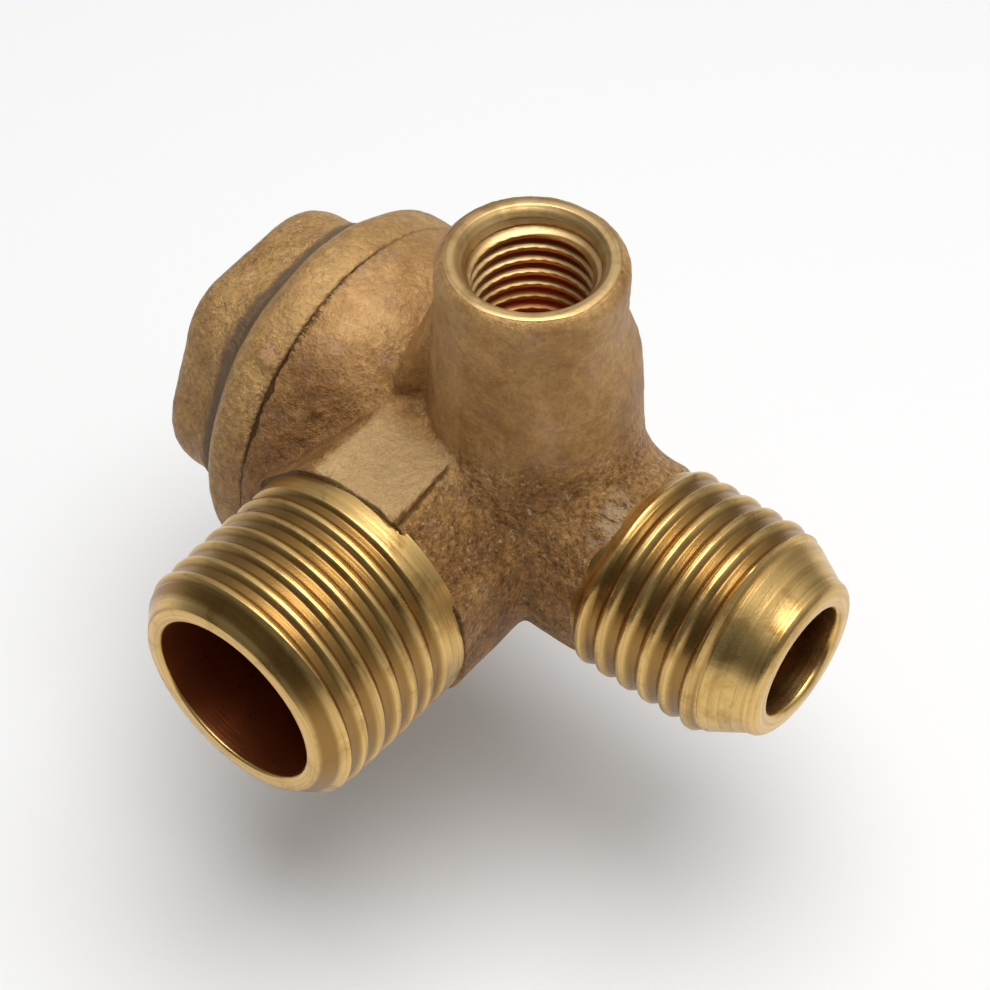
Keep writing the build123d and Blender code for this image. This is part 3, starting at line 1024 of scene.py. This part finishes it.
def chip_marks(tree, place, parts):
    """Pale chips where the inlet's thread breaks through the neck's cast skin."""
    x, y, z = parts
    stretched = vector_node(tree, "MULTIPLY", place, (0.6, 1.4, 1.4))
    chips = noise_node(tree, stretched, 0.9, 5, 0.75)
    return product(
        tree,
        map_node(tree, chips, 0.46, 0.50),
        map_node(tree, x, 13.3, 14.3),
        map_node(tree, y, 15.0, 13.6),
        map_node(tree, z, 5.6, 7.0),
    )


def clean_and_lit_marks(tree, parts):
    """The collar's flat: cleaner than the skin round it, and painted paler as light where the boss
    shades it.
    """
    x, y, z = parts
    return product(
        tree,
        map_node(tree, math_node(tree, "ABSOLUTE", x), COLLAR_FLAT_EDGE, COLLAR_FLAT_EDGE - 0.4),
        map_node(tree, z, 10.2, 10.45),
        map_node(tree, y, 9.0, 6.0),
    )


def low_shade_marks(tree, place, parts):
    """Painted shade: darker, uneven skin on the casting's lower side and between its dome and its
    collar.
    """
    x, y, z = parts
    uneven = map_node(tree, noise_node(tree, place, 0.5, 3, 0.6), 0.3, 0.6, 0.5, 1.0)
    low = map_node(tree, z, 9.0, 2.0)
    corner = product(tree, map_node(tree, y, 9.0, 6.0), map_node(tree, x, -3.2, -4.6))
    return product(tree, math_node(tree, "MAXIMUM", low, corner), uneven)


def rough_marks(tree, parts):
    """The coarse skin below the boss, between the collar's flat and the inlet."""
    x, _, z = parts
    return product(tree, map_node(tree, x, 3.9, 4.6), map_node(tree, z, 13.0, 9.5))


def groove_marks(tree, place, parts):
    """Purple-grey skin in the groove between the cap's hexagon and its flange."""
    waver = math_node(tree, "MULTIPLY", noise_node(tree, place, 0.7, 3, 0.6), 1.2)
    off = math_node(tree, "ADD", parts[0], waver)
    return product(
        tree,
        map_node(tree, off, -19.0, -17.9),
        map_node(tree, off, -15.7, -16.4),
        map_node(tree, around_node(tree, place, MAIN_AXIS), 10.8, 11.4),
    )


def body_marks(tree, place, parts):
    """The body's dark seam and painted edge shadows, their colour, its coarse and chipped skin, its
    cleaner, partly painted-lit flat, and its painted shade low down.
    """
    seam, edge_shadows = seam_marks(tree, place, parts), edge_shadow_marks(tree, place, parts)
    return (
        math_node(tree, "MAXIMUM", seam, edge_shadows),
        SEAM_AND_SHADOW_BROWN,
        rough_marks(tree, parts),
        chip_marks(tree, place, parts),
        clean_and_lit_marks(tree, parts),
        low_shade_marks(tree, place, parts),
    )


def cap_marks(tree, place, parts):
    """The same for the cap, which has a dark groove and painted shade on its lower side alone."""
    # Painted shade on the cap's lower side
    low = product(tree, map_node(tree, parts[2], 9.0, 2.0), 0.5)
    return groove_marks(tree, place, parts), GROOVE_GREY, 0.0, 0.0, 0.0, low


def cast_brass(name, tones, marks):
    """Rough cast brass: mottled and speckled, with a dark seam, painted glints, painted light and
    shade, chips and coarse skin as marked.
    """
    material, tree, shader = new_material(name)
    place = object_place(tree)
    parts = parts_of(tree, place)
    dark, tint, rough_skin, chips, clean_and_lit, low_shade = marks(tree, place, parts)
    patches = noise_node(tree, place, 0.17, 4, 0.6, 0.3)
    blush = noise_node(tree, place, 0.42, 3, 0.6)
    specks = noise_node(tree, place, 2.6, 4, 0.75)
    pits = noise_node(tree, place, 1.1, 4, 0.7)
    base = ramp_node(tree, patches, list(zip((0.34, 0.50, 0.66), tones)))
    base = mix_node(tree, map_node(tree, blush, 0.52, 0.72, 0.0, 0.45), base, BLUSH)
    coarse = map_node(tree, parts[2], 14.5, 9.5, 0.3, 0.8)
    coarse = math_node(tree, "ADD", coarse, product(tree, rough_skin, 0.6))
    speck = ramp_node(
        tree,
        math_node(tree, "ADD", product(tree, specks, 0.6), product(tree, pits, 0.4)),
        [(0.40, (0.50, 0.42, 0.30)), (0.50, WHITE), (0.60, (1.6, 1.58, 1.52))],
    )
    strong = math_node(tree, "MULTIPLY_ADD", coarse, 0.5, 0.2, clamp=True)
    colour = mix_node(tree, strong, base, speck, "MULTIPLY")
    # Painted glints: pale flecks on the coarser, lower skin, joined by the real chips
    glints_and_chips = noise_node(tree, place, 1.9, 2, 0.6)
    glints_and_chips = product(tree, map_node(tree, glints_and_chips, 0.62, 0.70), coarse, 0.7)
    glints_and_chips = math_node(tree, "MAXIMUM", glints_and_chips, chips, clamp=True)
    colour = mix_node(tree, product(tree, glints_and_chips, 0.8), colour, FLECK_AND_GLINT)
    # Painted light, partly a cleaner skin: the collar's flat made paler
    colour = mix_node(tree, product(tree, clean_and_lit, 0.55), colour, CLEAN_LIT_BRASS)
    # Painted shade: the lower side and the crease by the collar darkened
    colour = mix_node(tree, product(tree, low_shade, 0.85), colour, LOW_SHADE, "MULTIPLY")
    # The dark seam, the painted edge shadows and the cap's groove, in their colour
    colour = mix_node(tree, product(tree, dark, 0.85), colour, tint)
    # Painted shade: the bored surfaces darkened almost to black
    colour = mix_node(tree, recess_shade_node(tree), colour, CAST_BORE_BROWN)
    tree.links.new(colour, shader.inputs["Base Color"])
    shader.inputs["Metallic"].default_value = 0.4
    gloss = map_node(tree, dark, 0.0, 1.0, 0.5, 0.05)
    tree.links.new(gloss, shader.inputs["Specular IOR Level"])
    rough = math_node(tree, "MULTIPLY_ADD", specks, 0.3, 0.34)
    tree.links.new(rough, shader.inputs["Roughness"])
    height = math_node(tree, "ADD", specks, product(tree, pits, 2.0))
    height = math_node(tree, "ADD", product(tree, height, coarse), product(tree, chips, 0.6))
    height = math_node(tree, "SUBTRACT", height, dark)
    tree.links.new(bump_node(tree, height, 1.0, 0.00028), shader.inputs["Normal"])
    return material


def turned_brass(name, tint, roughness, axis):
    """Turned brass: golden, with fine marks round its axis, faint stains, and painted shade in its
    threads' roots and its bores.
    """
    material, tree, shader = new_material(name)
    place = object_place(tree)
    stains = noise_node(tree, place, 0.35, 4, 0.65, 0.5)
    specks = noise_node(tree, place, 3.0, 3, 0.6)
    lines = ring_lines(tree, place, axis, 3.0)
    dull = tuple(c * share for c, share in zip(tint, DULL_SHARES))
    base = ramp_node(tree, stains, [(0.32, dull), (0.50, tint), (0.75, tint)])
    streaks = [(0.34, (0.72, 0.68, 0.60)), (0.52, WHITE), (0.7, (1.15, 1.15, 1.2))]
    streak = ramp_node(tree, lines, streaks)
    colour = mix_node(tree, 0.8, base, streak, "MULTIPLY")
    recess_shade = recess_shade_node(tree)
    # Painted shade: brown in the threads' roots, red-brown in the bores
    in_root = map_node(tree, recess_shade, 0.0, ROOT_SHADE, 0.0, 0.9)
    in_bore = map_node(tree, recess_shade, ROOT_SHADE, BORE_SHADE, 0.0, 0.85)
    colour = mix_node(tree, in_root, colour, ROOT_BROWN)
    colour = mix_node(tree, in_bore, colour, BORE_BROWN)
    tree.links.new(colour, shader.inputs["Base Color"])
    shader.inputs["Metallic"].default_value = 0.92
    rough = math_node(tree, "MULTIPLY_ADD", stains, 0.22, roughness - 0.11)
    tree.links.new(rough, shader.inputs["Roughness"])
    height = math_node(tree, "ADD", lines, product(tree, specks, 0.4))
    tree.links.new(bump_node(tree, height, 0.5, 0.00005), shader.inputs["Normal"])
    return material


def seal_rubber():
    """Black nitrile rubber with a fine bloom."""
    material, tree, shader = new_material("seal_rubber")
    place = object_place(tree)
    bloom = noise_node(tree, place, 0.7, 5, 0.6)
    base = ramp_node(tree, bloom, list(zip((0.35, 0.7), RUBBER_TONES)))
    tree.links.new(base, shader.inputs["Base Color"])
    shader.inputs["Roughness"].default_value = 0.62
    tree.links.new(bump_node(tree, bloom, 0.3, 0.00003), shader.inputs["Normal"])
    return material


def spring_steel():
    """Drawn stainless wire."""
    material, tree, shader = new_material("spring_steel")
    place = object_place(tree)
    drawn = noise_node(tree, place, 1.8, 4, 0.6)
    base = ramp_node(tree, drawn, list(zip((0.3, 0.7), STEEL_TONES)))
    tree.links.new(base, shader.inputs["Base Color"])
    shader.inputs["Metallic"].default_value = 1.0
    shader.inputs["Roughness"].default_value = 0.3
    tree.links.new(bump_node(tree, drawn, 0.2, 0.00002), shader.inputs["Normal"])
    return material


def paint(thing, material):
    """The material on every face of a piece."""
    thing.data.materials.clear()
    thing.data.materials.append(material)
    thing.data.polygons.foreach_set("material_index", [0] * len(thing.data.polygons))


# Pieces


def body_keep_smooth(points):
    """1 where the casting was bored or turned, so that its skin is left out."""
    bored = 1 - ease(np.abs(casting_inside(points)), 0.02, 0.3)
    shoulder = 1 - ease(np.abs(points[:, 1]), 0.02, 0.3)
    return np.maximum(bored, shoulder)


def cap_keep_smooth(points):
    """1 on the cap's spigot, pocket and guide."""
    x, around = about_main(points)
    spigot = ease(x - mouth(around), -0.10, 0.0)
    pocket = 1 - ease(around, POCKET_RADIUS + 0.2, POCKET_RADIUS + 0.6)
    pocket *= ease(x, CAP_END_X + 1.5, CAP_END_X + 2.5)
    return np.maximum(spigot, pocket)


def body_recess_shade(points):
    """Painted shade in the chamber and the bores."""
    return BORE_SHADE * (1 - ease(np.abs(casting_inside(points)), 0.02, 0.4))


def cap_recess_shade(points):
    """Painted shade in the cap's pocket."""
    return BORE_SHADE * cap_keep_smooth(points)


def build_body():
    """The casting and its turned ports stand for the CAD body."""
    low = (MOUTH_X - GRID_MARGIN, CAST_NEAR_Y, CAST_LOW_Z)
    high = (CAST_RIGHT_X, CAST_FAR_Y, port_top + GRID_MARGIN)
    skin = field_piece(
        "body_casting", casting, low, high, CAST_STEP, body_keep_smooth, body_recess_shade
    )
    paint(skin, cast_brass("cast_brass", BODY_TONES, body_marks))
    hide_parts("valve_body")
    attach(skin, "housing")
    for port, tint, roughness, axis in (
        (outlet_spigot(), BRASS_TINT, 0.30, OUTLET_AXIS),
        (inlet_spigot(), BRASS_TINT, 0.27, MAIN_AXIS),
        (unloader_port(), PORT_TINT, 0.38, PORT_AXIS),
    ):
        paint(port, turned_brass(port.name + "_brass", tint, roughness, axis))
        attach(port, "housing")


def build_cap():
    """The cap with its cast skin stands for the CAD cap."""
    reach = FLANGE_RADIUS + GRID_MARGIN
    low = (CAP_END_X - GRID_MARGIN, main_y - reach, -reach)
    high = (SPIGOT_END_X + GRID_MARGIN, main_y + reach, reach)
    shell = field_piece("cap_casting", cap, low, high, CAP_STEP, cap_keep_smooth, cap_recess_shade)
    paint(shell, cast_brass("cap_brass", CAP_TONES, cap_marks))
    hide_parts("end_cap")
    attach(shell, "housing")


def build_inside():
    """Better finishes on the CAD pieces that the bores show."""
    rubber = seal_rubber()
    for node, material in (
        ("valve_piston", turned_brass("piston_brass", BRASS_TINT, 0.3, MAIN_AXIS)),
        ("seat_disc", rubber),
        ("cap_seal_ring", rubber),
    ):
        paint(frame["nodes"][node], material)


def build_spring():
    """The spring, a copy of the CAD spring, stands on the pocket's end."""
    node = frame["nodes"]["valve_spring"]
    spring = bpy.data.objects.new("closing_spring", node.data.copy())
    bpy.context.scene.collection.objects.link(spring)
    spring.matrix_world = node.matrix_world
    paint(spring, spring_steel())
    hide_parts("valve_spring")
    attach(spring, "housing")
    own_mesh(spring)


# Stage


def build_floor():
    """Pale floor a little below the valve."""
    signs = ((-1, -1), (1, -1), (1, 1), (-1, 1))
    low_z = cad_low.z - FLOOR_DROP
    corners = [(x * FLOOR_REACH, y * FLOOR_REACH, low_z) for x, y in signs]
    mesh = bpy.data.meshes.new("floor")
    mesh.from_pydata(corners, [], [(0, 1, 2, 3)])
    floor = bpy.data.objects.new("floor", mesh)
    bpy.context.scene.collection.objects.link(floor)
    material, _, shader = new_material("floor_paint")
    shader.inputs["Base Color"].default_value = FLOOR_PAINT
    shader.inputs["Roughness"].default_value = 0.9
    shader.inputs["Specular IOR Level"].default_value = 0.1
    paint(floor, material)


def build_world():
    """Soft light from above and behind."""
    world = bpy.data.worlds.new("studio")
    bpy.context.scene.world = world
    world.use_nodes = True
    tree = world.node_tree
    way = tree.nodes.new("ShaderNodeTexCoord").outputs["Generated"]
    above = vector_node(tree, "DOT_PRODUCT", way, SKY_WAY)
    above = map_node(tree, above, 0.45, 0.95, 0.0, SKY_LIGHT)
    behind = vector_node(tree, "DOT_PRODUCT", way, (0, 1, 0))
    behind = map_node(tree, behind, -0.8, 0.2, FRONT_LIGHT, BACK_LIGHT)
    sky = tree.nodes["Background"].inputs
    tree.links.new(math_node(tree, "ADD", above, behind), sky["Strength"])
    sky["Color"].default_value = (1, 1, 1, 1)


def build_lamp():
    """One soft lamp above the valve."""
    light = bpy.data.lights.new("key_lamp", "AREA")
    light.shape = "DISK"
    light.size = KEY_SIZE
    light.energy = KEY_POWER
    lamp = bpy.data.objects.new("key_lamp", light)
    lamp.location = KEY_PLACE
    aim = Vector((0, main_y * MM, 0)) - Vector(KEY_PLACE)
    lamp.rotation_mode = "QUATERNION"
    lamp.rotation_quaternion = aim.to_track_quat("-Z", "Y")
    bpy.context.scene.collection.objects.link(lamp)


def build_camera():
    """The camera at the photograph's viewing angle."""
    data = bpy.data.cameras.new("camera")
    data.lens = CAMERA_LENS
    data.sensor_width = SENSOR
    camera = bpy.data.objects.new("camera", data)
    place, target = Vector(CAMERA_PLACE) * MM, Vector(CAMERA_TARGET) * MM
    ahead = target - place
    roll = Matrix.Rotation(CAMERA_ROLL, 3, "Z")
    turn = ahead.to_track_quat("-Z", "Y").to_matrix() @ roll
    camera.location = place
    camera.rotation_mode = "QUATERNION"
    camera.rotation_quaternion = turn.to_quaternion()
    data.clip_start, data.clip_end = 0.01, 10
    bpy.context.scene.collection.objects.link(camera)
    bpy.context.scene.camera = camera


def build():
    """The whole valve on its stage."""
    bpy.context.scene.view_settings.view_transform = "Standard"
    build_body()
    build_cap()
    build_inside()
    build_spring()
    build_floor()
    build_world()
    build_lamp()
    build_camera()


build()
